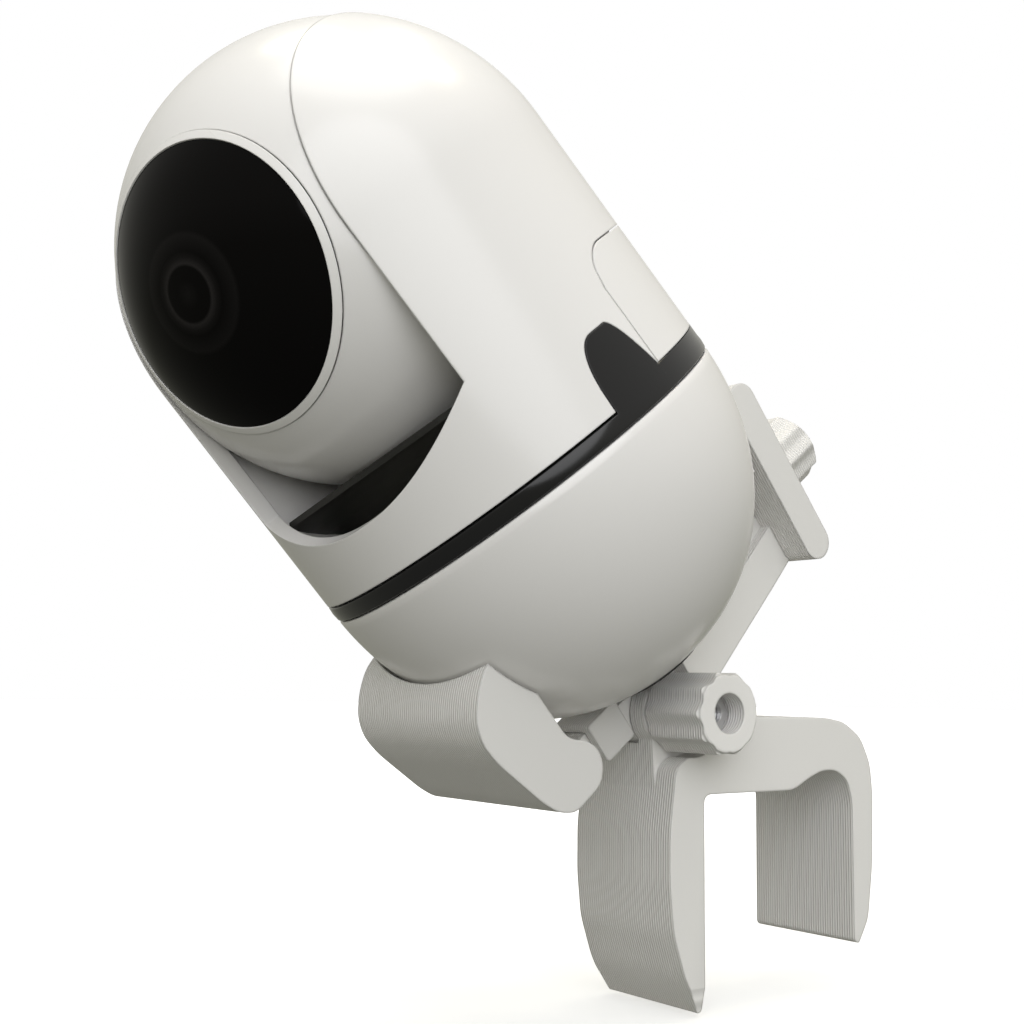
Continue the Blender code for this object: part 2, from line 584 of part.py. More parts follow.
def build_clip():
    """The rail clip: leaf-shaped front leg, bridge, back leg and the hinge ears."""
    half = RAIL_DEPTH / 2
    front = [(-half, 0.0), (-half, -34.0), (-half - 0.8, -34.4), (-half - 4.2, -28.5)]
    front += [(-half - 6.6, -21.5), (-half - 7.4, -14.0), (-half - 7.4, -6.0), (-half - 6.6, 0.0), (-half - 6.0, 4.5)]
    top = [(-half + 0.5, 8.0), (-half + 5.0, 8.2), (-half + 8.0, 10.4), (-half + 11.5, 12.4)]
    top += [(half - 7.0, 12.2), (half - 2.0, 11.4), (half + 2.4, 8.6), (half + 4.8, 4.0)]
    top += [(half + 5.4, -1.5), (half + 4.9, -14.0), (half + 3.6, -23.0), (half + 1.0, -27.0)]
    arch = [(half, -26.4), (half, -2.4), (half - 1.2, 1.2), (half - 4.0, 3.0)]
    arch += [(half - 7.5, 3.2), (half - 11.0, 2.0), (half - 15.0, 0.0)]
    clip = prism("clip", front + top + arch, -11.7, 11.7, "X")
    circle_at = (HINGE_Y, HINGE_Z)
    turns = [math.radians(angle) for angle in spread(-25, 225, 20)]
    ears = [(HINGE_Y + EAR_R * math.cos(t), HINGE_Z + EAR_R * math.sin(t)) for t in turns]
    ears += [(-half - 6.3, -1.0), (-half + 8.0, 2.0), (-half + 6.5, 8.6)]
    join(clip, prism("ears", ears, -EAR_OUT, EAR_OUT, "X"))
    cut(clip, rod("tongue_space", EAR_R + 0.5, -EAR_IN, EAR_IN, "X", circle_at, 36))
    cut(clip, box("tongue_front", (-EAR_IN, HINGE_Y - 12, HINGE_Z - 1.0), (EAR_IN, HINGE_Y, HINGE_Z + 10)))
    cut(clip, box("tongue_back", (-EAR_IN, HINGE_Y, HINGE_Z - 2.5), (EAR_IN, HINGE_Y + 12, HINGE_Z + 10)))
    for low, high in ((-20, -EAR_OUT), (EAR_OUT, 20)):
        cut(clip, rod("knob_space", KNOB_R + 0.6, low, high, "X", circle_at, 36))
    cut(clip, rod("pivot_bore", BOLT_R + 0.08, -20, 20, "X", circle_at, 24))
    bevel_outer = [(-14, -20), (-9.5, -40), (-14, -40)]
    for sign in (-1, 1):
        cut(clip, prism("bevel", [(sign * x, z) for x, z in bevel_outer], -half - 20, half + 20, "Y"))
    finish(clip, "rail_clip", "white_print")


def build_pivot():
    """The bolt and knob that tighten the tilt hinge."""
    axis = frame("pivot_axis", move(0, HINGE_Y, HINGE_Z))
    bolt = rod("bolt", BOLT_R, -EAR_OUT - GAP - 1.0, EAR_OUT + 9.0, "X", segments=20)
    join(bolt, rod("head", 3.2, -EAR_OUT - GAP - 2.9, -EAR_OUT - GAP, "X", segments=6))
    finish(bolt, "pivot_bolt", "steel", axis)
    knob_at = frame("pivot_knob_seat", move(EAR_OUT + GAP, 0, 0), axis)
    knob = fluted_knob("knob", BOLT_R + 0.06, NUT_R + 0.15, 6.5)
    finish(knob, "pivot_knob", "white_print", knob_at)
    nut = rod("nut", NUT_R, KNOB_LENGTH - 6.3, KNOB_LENGTH - 3.4, "X", segments=6)
    cut(nut, rod("thread", BOLT_R + 0.06, -5, 30, "X", segments=20))
    finish(nut, "pivot_nut", "steel", knob_at)


def build_jaw_screw(cradle):
    """The rear jaw's screw, its knob and the nut set in the knob."""
    axis = frame("jaw_screw_axis", move(0, PLATE_Y + PLATE_R + GAP, SCREW_Z) @ turn(90, "Z"), cradle)
    screw = rod("screw", BOLT_R, -2 * PLATE_R - 1.35, 9.5, "X", segments=20)
    finish(screw, "jaw_screw", "steel", axis)
    knob = fluted_knob("knob", BOLT_R + 0.06, NUT_R + 0.15, 6.5)
    finish(knob, "jaw_knob", "white_print", axis)
    nut = rod("nut", NUT_R, KNOB_LENGTH - 6.3, KNOB_LENGTH - 3.4, "X", segments=6)
    cut(nut, rod("thread", BOLT_R + 0.06, -5, 30, "X", segments=20))
    finish(nut, "jaw_nut", "steel", axis)


def main():
    clear_scene()
    cradle_at = move(0, HINGE_Y, HINGE_Z) @ turn(TILT_DEG, "X")
    camera_in_cradle = move(CAMERA_SHIFT_X, CLAMP_Y, CLAMP_Z) @ turn(-LEAN_DEG, "Y") @ turn(PAN_DEG, "Z")
    cradle = frame("cradle_axis", cradle_at)
    camera = frame("camera_axis", cradle_at @ camera_in_cradle)
    head = frame("head_axis", move(0, 0, HEAD_Z) @ turn(HEAD_PITCH_DEG, "X"), camera)
    build_hood(camera)
    build_ring(camera)
    build_pan_drive(camera)
    build_base(camera)
    build_tilt_drive(camera, head)
    build_head(head)
    build_cradle(cradle, camera_in_cradle)
    build_pad(cradle, camera_in_cradle)
    build_front_jaw(cradle, camera_in_cradle)
    build_clip()
    build_pivot()
    build_jaw_screw(cradle)


main()
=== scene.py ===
"""Looks of the pan and tilt baby monitor camera in its printed crib rail mount.

Lengths are in millimetres and are turned into metres when a mesh is made. The frames are the CAD's:
row frame (X along the rail, -Y into the crib, +Z up), cradle frame, camera frame and head frame.
"""
import json
import math

import bmesh
import bpy
from mathutils import Matrix, Vector

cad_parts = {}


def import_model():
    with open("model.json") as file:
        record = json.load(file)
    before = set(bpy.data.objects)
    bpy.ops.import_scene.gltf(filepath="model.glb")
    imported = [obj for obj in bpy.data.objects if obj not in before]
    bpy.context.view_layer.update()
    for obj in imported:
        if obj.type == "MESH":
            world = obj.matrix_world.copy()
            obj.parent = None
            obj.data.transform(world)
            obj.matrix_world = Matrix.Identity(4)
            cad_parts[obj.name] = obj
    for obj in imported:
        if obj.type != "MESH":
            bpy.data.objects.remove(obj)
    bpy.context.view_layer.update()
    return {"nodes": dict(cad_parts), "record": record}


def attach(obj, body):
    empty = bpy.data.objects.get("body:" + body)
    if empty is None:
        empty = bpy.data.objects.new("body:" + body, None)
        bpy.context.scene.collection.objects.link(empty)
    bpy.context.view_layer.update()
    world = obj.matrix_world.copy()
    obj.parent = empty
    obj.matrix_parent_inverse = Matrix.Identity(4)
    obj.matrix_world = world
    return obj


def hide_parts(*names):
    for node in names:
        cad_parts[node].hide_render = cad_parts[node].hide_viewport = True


MM = 0.001

# Camera body
RADIUS = 36.0
HEAD_Z = 42.5
DOME_DEPTH = 39.5
DOME_POWER = 2.1
FOOT_Z = -37.9
WALL = 2.6
BASE_WALL = 2.2
RING_HALF = 1.25
GAP = 0.3
SLOT_HALF = 23.0
CHEEK_WALL = 1.6
LIP_CORNER_Z = HEAD_Z - 25.2
LIP_CENTRE_Z = HEAD_Z - 33.0
BACK_LIP_Z = HEAD_Z - 13.0
PANEL_DEG, PANEL_TOP, PANEL_CORNER, PANEL_WALL = 82.5, 21.6, 6.0, 1.35
BAND_TOP = 2.8
LOBE_START, LOBE_END, LOBE_TOP = 63.4, 82.0, 12.1
LEAN_DEG = 11.0
HEAD_PITCH_DEG = -10.5
PAN_DEG = 20.0
CAMERA_SHIFT_X = 1.0

# Camera head
HEAD_RADIUS = 35.6
HEAD_WALL = 1.8
HEAD_HALF = 22.6
HEAD_CUT_Z = -35.0
HEAD_SPLIT_Y = 14.0
WINDOW_DEG = 34.2
TRIM_DEG = 36.4

# Mount
RAIL_DEPTH = 36.0
TILT_DEG = 38.5
HINGE_Y, HINGE_Z = -RAIL_DEPTH / 2 - 2.5, 13.2
EAR_R, EAR_IN, EAR_OUT = 6.2, 3.4, 6.8
CLAMP_Y, CLAMP_Z = 1.0, 47.0
KNOB_R, KNOB_LENGTH, KNOB_FLUTES = 6.7, 13.0, 10
BOLT_R, NUT_R = 1.45, 3.05
JAW_HALF = 16.5
REAR_JAW_HALF = 12.0
PAD_TRAVEL = 1.0
SCREW_Z = 16.3
PLATE_Y, PLATE_LOW, PLATE_HIGH, PLATE_R = 41.9, 4.7, 33.9, 3.1
SLIDER_HALF, SLIDER_LOW, SLIDER_HIGH = 2.5, 2.3, 6.5
CLIP_HALF = 11.7
LAYER = 0.55
PRINT_FIT = 0.4

# Set, in metres
FLOOR_Z = -0.0350
CROWN = (0.02, -0.08, 0.10)
LIGHTS = (
    # name, place, aim, size, watts, colour
    ("overhead", (0.10, -0.15, 0.75), (0, -0.03, 0.05), 0.55, 1.5, (1.0, 0.99, 0.95)),
    ("camera_side", (0.62, -0.36, 0.30), (0, -0.03, 0.03), 0.85, 3.6, (0.96, 0.97, 1.0)),
    ("lamp_left", (-0.322, -0.125, 0.941), CROWN, 0.28, 0.6, (1.0, 0.95, 0.72)),
    ("lamp_middle", (-0.178, 0.208, 0.936), CROWN, 0.09, 0.45, (1.0, 0.92, 0.70)),
    ("lamp_right", (0.112, 0.250, 0.934), CROWN, 0.13, 0.7, (1.0, 0.86, 0.62)),
)
WORLD_STRENGTH = 0.78
VIEW_PLACE = (0.18159, -0.18167, 0.01798)
VIEW_RIGHT = (0.59208, 0.80579, 0.01112)
VIEW_AHEAD = (-0.80103, 0.58691, 0.11774)


def move(x, y, z):
    return Matrix.Translation(Vector((x, y, z)) * MM)


def turn(degrees, axis):
    return Matrix.Rotation(math.radians(degrees), 4, axis)


CRADLE = move(0, HINGE_Y, HINGE_Z) @ turn(TILT_DEG, "X")
CAMERA_IN_CRADLE = move(CAMERA_SHIFT_X, CLAMP_Y, CLAMP_Z) @ turn(-LEAN_DEG, "Y") @ turn(PAN_DEG, "Z")
CAMERA = CRADLE @ CAMERA_IN_CRADLE
HEAD = CAMERA @ move(0, 0, HEAD_Z) @ turn(HEAD_PITCH_DEG, "X")
PIVOT_KNOB = move(EAR_OUT + GAP, HINGE_Y, HINGE_Z)
JAW_KNOB = CRADLE @ move(0, PLATE_Y + PLATE_R + GAP, SCREW_Z) @ turn(90, "Z")


# Shapes

def from_bmesh(name, bm):
    bmesh.ops.remove_doubles(bm, verts=bm.verts, dist=1e-7)
    bmesh.ops.recalc_face_normals(bm, faces=bm.faces)
    mesh = bpy.data.meshes.new(name)
    bm.to_mesh(mesh)
    bm.free()
    obj = bpy.data.objects.new(name, mesh)
    bpy.context.scene.collection.objects.link(obj)
    return obj


def revolve(name, profile, segments=144, closed=False):
    """A solid round Z from (radius, z) points. An open profile starts and ends on the axis."""
    bm = bmesh.new()
    rings = []
    for radius, z in profile:
        if radius < 1e-6:
            rings.append([bm.verts.new((0, 0, z * MM))])
            continue
        ring = []
        for i in range(segments):
            at = 2 * math.pi * i / segments
            ring.append(bm.verts.new((radius * MM * math.cos(at), radius * MM * math.sin(at), z * MM)))
        rings.append(ring)
    pairs = list(zip(rings, rings[1:]))
    if closed:
        pairs.append((rings[-1], rings[0]))
    for low, high in pairs:
        for i in range(segments):
            j = (i + 1) % segments
            corners = [low[i % len(low)], low[j % len(low)], high[j % len(high)], high[i % len(high)]]
            unique = list(dict.fromkeys(corners))
            if len(unique) > 2:
                bm.faces.new(unique)
    return from_bmesh(name, bm)


def prism(name, outline, low, high, axis="X"):
    """A polygon in the two other axes, in X, Y, Z order, extruded along axis from low to high."""
    bm = bmesh.new()
    slot = "XYZ".index(axis)

    def point(pair, along):
        values = list(pair)
        values.insert(slot, along)
        return Vector(values) * MM

    bottom = [bm.verts.new(point(pair, low)) for pair in outline]
    top = [bm.verts.new(point(pair, high)) for pair in outline]
    bm.faces.new(bottom)
    bm.faces.new(top)
    for i in range(len(outline)):
        j = (i + 1) % len(outline)
        bm.faces.new((bottom[i], bottom[j], top[j], top[i]))
    return from_bmesh(name, bm)


def box(name, low, high):
    outline = [(low[1], low[2]), (high[1], low[2]), (high[1], high[2]), (low[1], high[2])]
    return prism(name, outline, low[0], high[0], "X")


def circle(radius, segments, centre=(0.0, 0.0)):
    turns = [2 * math.pi * i / segments for i in range(segments)]
    return [(centre[0] + radius * math.cos(t), centre[1] + radius * math.sin(t)) for t in turns]


def rod(name, radius, low, high, axis="X", centre=(0.0, 0.0), segments=64):
    return prism(name, circle(radius, segments, centre), low, high, axis)


def rounded(outline, radius, steps=5):
    """The outline with each corner replaced by an arc-like curve that starts up to radius away."""
    made = []
    count = len(outline)
    for i in range(count):
        before, here, after = (Vector(outline[(i + k) % count]) for k in (-1, 0, 1))
        back, ahead = before - here, after - here
        reach = min(radius, back.length * 0.45, ahead.length * 0.45)
        start = here + back.normalized() * reach
        end = here + ahead.normalized() * reach
        for k in range(steps + 1):
            t = k / steps
            made.append(tuple(start * (1 - t) ** 2 + here * 2 * t * (1 - t) + end * t ** 2))
    return made


def combine(obj, other, operation):
    """Applies one exact Boolean and removes the other object."""
    modifier = obj.modifiers.new(operation.lower(), "BOOLEAN")
    modifier.operation = operation
    modifier.solver = "EXACT"
    modifier.object = other
    graph = bpy.context.evaluated_depsgraph_get()
    mesh = bpy.data.meshes.new_from_object(obj.evaluated_get(graph))
    obj.modifiers.clear()
    obj.data = mesh
    bpy.data.objects.remove(other, do_unlink=True)
    return obj


def cut(obj, *others):
    for other in others:
        combine(obj, other, "DIFFERENCE")
    return obj


def join(obj, *others):
    for other in others:
        combine(obj, other, "UNION")
    return obj


def keep(obj, other):
    return combine(obj, other, "INTERSECT")


def transformed(obj, matrix):
    obj.data.transform(matrix)
    return obj


def shade(obj, angle_deg=30.0):
    """Smooth shading, with edges sharper than angle_deg kept sharp."""
    bm = bmesh.new()
    bm.from_mesh(obj.data)
    for face in bm.faces:
        face.smooth = True
    for edge in bm.edges:
        edge.smooth = len(edge.link_faces) == 2 and edge.calc_face_angle(0.0) < math.radians(angle_deg)
    bm.to_mesh(obj.data)
    bm.free()


def arc(radius, start_deg, end_deg, steps, centre_z=0.0):
    """(radius, z) points on a circle about (0, centre_z), by angle up from the equator."""
    turns = [math.radians(start_deg + (end_deg - start_deg) * i / steps) for i in range(steps + 1)]
    return [(max(0.0, radius * math.cos(t)), centre_z + radius * math.sin(t)) for t in turns]


def spread(start, end, steps):
    return [start + (end - start) * i / steps for i in range(steps + 1)]


def mirrored_angles(angles_deg):
    """The same angles on the other side, still in rising order."""
    return [360 - angle for angle in reversed(angles_deg)]


def dome_radius(z, grow=0.0):
    """The base's outer radius at a depth z below the ring."""
    share = min(1.0, abs(z) / (DOME_DEPTH + grow))
    return (RADIUS + grow) * (1 - share**DOME_POWER) ** (1 / DOME_POWER)


def dome_points(top, bottom, steps, grow=0.0):
    """(radius, z) points down the base's dome, closer together where it curves most."""
    shares = [math.sin(math.pi / 2 * i / steps) for i in range(steps + 1)]
    return [(dome_radius(top + (bottom - top) * s, grow), top + (bottom - top) * s) for s in shares]


def arc_strip(name, angles_deg, inner, outer, low, tops):
    """A curved wall. tops gives its height at each angle, counted round from the front."""
    bm = bmesh.new()
    sections = []
    for angle, top in zip(angles_deg, tops):
        side, front = math.sin(math.radians(angle)), -math.cos(math.radians(angle))
        ring = [(inner, low), (outer, low), (outer, top), (inner, top)]
        sections.append([bm.verts.new(Vector((r * side, r * front, z)) * MM) for r, z in ring])
    bm.faces.new(sections[0])
    bm.faces.new(sections[-1])
    for first, second in zip(sections, sections[1:]):
        for i in range(4):
            j = (i + 1) % 4
            bm.faces.new((first[i], first[j], second[j], second[i]))
    return from_bmesh(name, bm)


# Materials

def fill_ramp(ramp, stops):
    """Gives a colour ramp these (position, colour) stops."""
    while len(ramp.elements) < len(stops):
        ramp.elements.new(0.5)
    for element, (at, colour) in zip(ramp.elements, stops):
        element.position = at
        element.color = (*colour, 1.0)


class Paint:
    """A procedural Principled material under construction."""

    def __init__(self, name, colour, roughness, metallic=0.0):
        self.material = bpy.data.materials.new(name)
        self.material.use_nodes = True
        self.nodes = self.material.node_tree.nodes
        self.links = self.material.node_tree.links
        self.shader = self.nodes["Principled BSDF"]
        self.set("Base Color", (*colour, 1.0))
        self.set("Roughness", roughness)
        self.set("Metallic", metallic)
        self.place = self.nodes.new("ShaderNodeTexCoord").outputs["Object"]
        self.normal = None

    def set(self, socket, value):
        self.shader.inputs[socket].default_value = value

    def noise(self, scale, detail=3.0, stretch=(1, 1, 1)):
        mapping = self.nodes.new("ShaderNodeMapping")
        mapping.inputs["Scale"].default_value = stretch
        self.links.new(self.place, mapping.inputs["Vector"])
        texture = self.nodes.new("ShaderNodeTexNoise")
        texture.inputs["Scale"].default_value = scale
        texture.inputs["Detail"].default_value = detail
        self.links.new(mapping.outputs["Vector"], texture.inputs["Vector"])
        return texture.outputs["Fac"]

    def layers(self, period):
        """Bands across X, one per printed layer. period is in millimetres."""
        wave = self.nodes.new("ShaderNodeTexWave")
        wave.bands_direction = "X"
        wave.inputs["Scale"].default_value = 2 * math.pi / (20 * period * MM)
        wave.inputs["Distortion"].default_value = 0.06
        wave.inputs["Detail"].default_value = 1.0
        wave.inputs["Detail Scale"].default_value = 3.0
        self.links.new(self.place, wave.inputs["Vector"])
        return wave.outputs["Fac"]

    def ramp(self, source, low, high):
        """source mapped from 0..1 onto two colours or two values."""
        ramp = self.nodes.new("ShaderNodeMix")
        ramp.data_type = "RGBA" if isinstance(low, tuple) else "FLOAT"
        a, b, out = (6, 7, 2) if ramp.data_type == "RGBA" else (2, 3, 0)
        ramp.inputs[a].default_value = (*low, 1.0) if isinstance(low, tuple) else low
        ramp.inputs[b].default_value = (*high, 1.0) if isinstance(high, tuple) else high
        self.links.new(source, ramp.inputs[0])
        return ramp.outputs[out]

    def drive(self, socket, source):
        self.links.new(source, self.shader.inputs[socket])

    def soft_edges(self, radius):
        """Rounds the shading of sharp edges. radius is in millimetres."""
        bevel = self.nodes.new("ShaderNodeBevel")
        bevel.samples = 6
        bevel.inputs["Radius"].default_value = radius * MM
        self.normal = bevel.outputs["Normal"]
        self.links.new(self.normal, self.shader.inputs["Normal"])

    def bump(self, height, distance, strength=1.0):
        """Adds relief on top of the relief so far. distance is in millimetres."""
        node = self.nodes.new("ShaderNodeBump")
        node.inputs["Distance"].default_value = distance * MM
        node.inputs["Strength"].default_value = strength
        self.links.new(height, node.inputs["Height"])
        if self.normal:
            self.links.new(self.normal, node.inputs["Normal"])
        self.normal = node.outputs["Normal"]
        self.links.new(self.normal, self.shader.inputs["Normal"])


def shell_paint(name, colour, roughness, edge):
    """Glossy moulded plastic. edge is the width of its softened edges in millimetres."""
    paint = Paint(name, colour, roughness)
    paint.soft_edges(edge)
    paint.bump(paint.noise(1400, 2), 0.006, 0.3)
    paint.drive("Roughness", paint.ramp(paint.noise(45, 2), roughness - 0.02, roughness + 0.04))
    warm = tuple(c * f for c, f in zip(colour, (0.992, 0.988, 0.972)))
    paint.drive("Base Color", paint.ramp(paint.noise(14, 1), colour, warm))
    paint.set("Specular IOR Level", 0.5)
    paint.set("Coat Weight", 0.25)
    paint.set("Coat Roughness", 0.12)
    return paint.material


def print_paint(name, colour):
    """Printed plastic with its layers stacked along X."""
    paint = Paint(name, colour, 0.55)
    paint.soft_edges(0.55)
    bands = paint.layers(LAYER)
    dark = tuple(c * 0.84 for c in colour)
    paint.drive("Base Color", paint.ramp(bands, dark, colour))
    paint.bump(bands, 0.16, 0.9)
    paint.bump(paint.noise(420, 3), 0.03, 0.5)
    paint.drive("Roughness", paint.ramp(paint.noise(150, 3), 0.48, 0.68))
    return paint.material


def window_paint():
    """Smoked window: the lens behind it shows as faint rings round the axis."""
    paint = Paint("window_gloss", (0.004, 0.004, 0.005), 0.05)
    split = paint.nodes.new("ShaderNodeSeparateXYZ")
    paint.links.new(paint.place, split.inputs["Vector"])
    flat = paint.nodes.new("ShaderNodeCombineXYZ")
    paint.links.new(split.outputs["X"], flat.inputs["X"])
    paint.links.new(split.outputs["Z"], flat.inputs["Y"])
    length = paint.nodes.new("ShaderNodeVectorMath")
    length.operation = "LENGTH"
    paint.links.new(flat.outputs["Vector"], length.inputs[0])
    rings = paint.nodes.new("ShaderNodeValToRGB")
    reach = paint.nodes.new("ShaderNodeMath")
    reach.operation = "MULTIPLY"
    reach.inputs[1].default_value = 1 / (20 * MM)
    paint.links.new(length.outputs["Value"], reach.inputs[0])
    paint.links.new(reach.outputs["Value"], rings.inputs["Fac"])
    black, faint, dim = 0.0035, 0.020, 0.008
    levels = (
        (0.0, dim), (0.10, black), (0.19, black), (0.21, faint),
        (0.25, dim), (0.29, black), (0.40, dim), (0.43, black),
    )
    fill_ramp(rings.color_ramp, [(at, (level, level * 0.92, level * 0.9)) for at, level in levels])
    paint.drive("Base Color", rings.outputs["Color"])
    paint.set("Specular IOR Level", 0.05)
    paint.bump(paint.noise(700, 2), 0.002, 0.2)
    return paint.material


def plain_paint(name, colour, roughness, metallic=0.0, grain=0.02, scale=600, stretch=(1, 1, 1)):
    paint = Paint(name, colour, roughness, metallic)
    paint.soft_edges(0.25)
    paint.bump(paint.noise(scale, 3, stretch), grain, 0.5)
    paint.drive("Roughness", paint.ramp(paint.noise(120, 3), max(0.03, roughness - 0.05), roughness + 0.08))
    return paint.material


def make_paints():
    return {
        "white_shell": shell_paint("shell_gloss", (0.80, 0.79, 0.785), 0.24, 0.35),
        "white_trim": shell_paint("trim_gloss", (0.82, 0.81, 0.80), 0.26, 0.25),
        "white_print": print_paint("print_layers", (0.86, 0.85, 0.83)),
        "black_gloss": plain_paint("ring_gloss", (0.006, 0.006, 0.007), 0.12, grain=0.004),
        "black_liner": plain_paint("liner_matt", (0.012, 0.012, 0.010), 0.50),
        "lens_glass": plain_paint("coated_lens", (0.02, 0.025, 0.05), 0.04, grain=0.0005),
        "steel": plain_paint("plated_steel", (0.62, 0.62, 0.63), 0.28, 1.0, 0.008, 900, (0.1, 1, 1)),
        "brass": plain_paint("turned_brass", (0.75, 0.58, 0.28), 0.26, 1.0, 0.008, 900, (0.1, 1, 1)),
        "board_green": plain_paint("circuit_board", (0.02, 0.15, 0.06), 0.38, grain=0.05, scale=300),
        "gear_nylon": plain_paint("gear_nylon", (0.80, 0.78, 0.70), 0.42, grain=0.02),
        "rubber": plain_paint("soft_rubber", (0.035, 0.035, 0.035), 0.80, grain=0.06),
        "window": window_paint(),
    }


# Pieces

def show(obj, name, matrix, body, slot, paint, *nodes, sharp=30.0, own_axes=False):
    """Puts a finished visual piece in place of its CAD node.

    Its mesh goes into row coordinates, like the CAD's, unless its paint follows the piece's own axes.
    """
    obj.name = name
    obj.data.name = name
    obj.data.materials.clear()
    obj.data.materials.append(paint)
    if own_axes:
        obj.matrix_world = matrix
    else:
        obj.data.transform(matrix)
    shade(obj, sharp)
    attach(obj, body)
    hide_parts(*nodes)
    return obj


def camera_interior(name, grow, low, steps=36):
    """The hood's capsule shape, grown by this much, from the height low to its crown."""
    profile = [(0, low)] + [(RADIUS + grow, z) for z in spread(low, HEAD_Z, 14)]
    profile += arc(RADIUS + grow, 0, 90, steps, HEAD_Z)[1:]
    return revolve(name, profile, 176)


def lip_outline(steps=48):
    """The slot for the head, seen from the front as (x, z): straight sides and a curved lip."""
    half = SLOT_HALF
    points = [(-half, RADIUS * 3), (-half, LIP_CORNER_Z)]
    for i in range(1, steps):
        t = -1 + 2 * i / steps
        points.append((half * t, LIP_CENTRE_Z + (LIP_CORNER_Z - LIP_CENTRE_Z) * abs(t) ** 2.2))
    return points + [(half, LIP_CORNER_Z), (half, RADIUS * 3)]


def panel_tops(angles_deg, edge_deg, top):
    """The rear panel's height at each angle, with its upper corners rounded."""
    heights = []
    for angle in angles_deg:
        run = (angle - edge_deg if angle < 180 else 360 - edge_deg - angle) * math.pi / 180 * RADIUS
        drop = max(0.0, 1 - max(0.0, run) / PANEL_CORNER)
        heights.append(top - PANEL_CORNER * (1 - math.sqrt(max(0.0, 1 - drop * drop))))
    return heights


def lobe_tops(angles_deg, start_deg, end_deg, top):
    """The ring lobe's height at each angle: a round front and a longer slope at the back."""
    heights = []
    for angle in angles_deg:
        share = (angle - start_deg) / (end_deg - start_deg)
        front = (1 - max(0.0, 1 - share / 0.4) ** 2.6) ** (1 / 2.6)
        back = 1 - 0.8 * (max(0.0, share - 0.62) / 0.38) ** 1.7
        heights.append(max(RING_HALF, top * min(front, back)))
    return heights


def hood_pieces(paints):
    hood = camera_interior("hood", 0.0, RING_HALF + GAP)
    hollow = camera_interior("hollow", -WALL, -1)
    for side in (-1, 1):
        low, high = sorted((side * SLOT_HALF, side * (SLOT_HALF + CHEEK_WALL)))
        cut(hollow, box("cheek", (low, -40, 8.0), (high, 40, 100)))
    cut(hood, hollow)
    cut(hood, prism("front_slot", lip_outline(), -60, 0, "Y"))
    cut(hood, box("back_slot", (-SLOT_HALF, -1, BACK_LIP_Z), (SLOT_HALF, 60, 120)))
    edge = PANEL_DEG
    angles = spread(edge - 0.3, 360 - edge + 0.3, 160)
    tops = panel_tops(angles, edge - 0.3, PANEL_TOP + 0.2)
    cut(hood, arc_strip("recess", angles, RADIUS - 1.65, RADIUS + 1, -1, tops))
    lobe = spread(LOBE_START - 0.2, LOBE_END + 0.2, 56)
    tops = [top + 0.12 for top in lobe_tops(lobe, LOBE_START - 0.2, LOBE_END + 0.2, LOBE_TOP)]
    for strip, heights in ((lobe, tops), (mirrored_angles(lobe), tops[::-1])):
        cut(hood, arc_strip("lobe_cut", strip, RADIUS - 2.0, RADIUS + 1, -1, heights))
    show(hood, "upper_shell_skin", CAMERA, "camera_body", "white_shell", paints["white_shell"], "upper_shell")
    angles = spread(edge, 360 - edge, 160)
    tops = panel_tops(angles, edge, PANEL_TOP)
    panel = arc_strip("panel", angles, RADIUS - PANEL_WALL, RADIUS, BAND_TOP + 0.15, tops)
    show(panel, "rear_panel_skin", CAMERA, "camera_body", "white_shell", paints["white_shell"], "rear_panel")


def ring_piece(paints):
    profile = [(30.5, -RING_HALF), (RADIUS - 0.2, -RING_HALF), (RADIUS, -RING_HALF + 0.15), (RADIUS + 0.1, 0)]
    profile += [(RADIUS, RING_HALF - 0.15), (RADIUS - 0.2, RING_HALF), (30.5, RING_HALF)]
    ring = revolve("ring", profile, 176, closed=True)
    lobe = spread(LOBE_START, LOBE_END, 56)
    tops = lobe_tops(lobe, LOBE_START, LOBE_END, LOBE_TOP)
    for strip, heights in ((lobe, tops), (mirrored_angles(lobe), tops[::-1])):
        join(ring, arc_strip("lobe", strip, RADIUS - 1.7, RADIUS + 0.03, 0.2, heights))
    back = spread(LOBE_END - 1.0, 361.0 - LOBE_END, 120)
    join(ring, arc_strip("rear_band", back, RADIUS - 1.4, RADIUS + 0.02, 0.2, [BAND_TOP] * len(back)))
    show(ring, "accent_ring_band", CAMERA, "camera_body", "black_gloss", paints["black_gloss"], "accent_ring")


def base_piece(paints):
    top = -RING_HALF - GAP * 0.6
    outside = [(RADIUS - 0.55, top), (RADIUS - 0.2, top - 0.1)] + dome_points(top - 0.45, FOOT_Z, 56)
    inside = [(radius - BASE_WALL, z) for radius, z in dome_points(top, -35.4, 24)]
    inside[-1] = (8.7, -35.4)
    shell = revolve("base", [(8.7, FOOT_Z)] + outside[::-1] + inside, 176, closed=True)
    cut(shell, box("inlet", (-40, -4.9, -17.0), (-25, 4.9, -12.0)))
    hole = rod("reset_hole", 1.9, -40, -25, "X", (0.0, -14.5), 40)
    cut(shell, transformed(hole, turn(28, "Z")))
    show(shell, "base_shell_skin", CAMERA, "camera_base", "white_shell", paints["white_shell"], "base_shell")


def head_ball(name, radius, half, low):
    """A ball cut flat at both sides and below."""
    ball = revolve(name, arc(radius, -90, 90, 72), 144)
    keep(ball, box("slab", (-half, -60, low), (half, 60, 60)))
    return ball


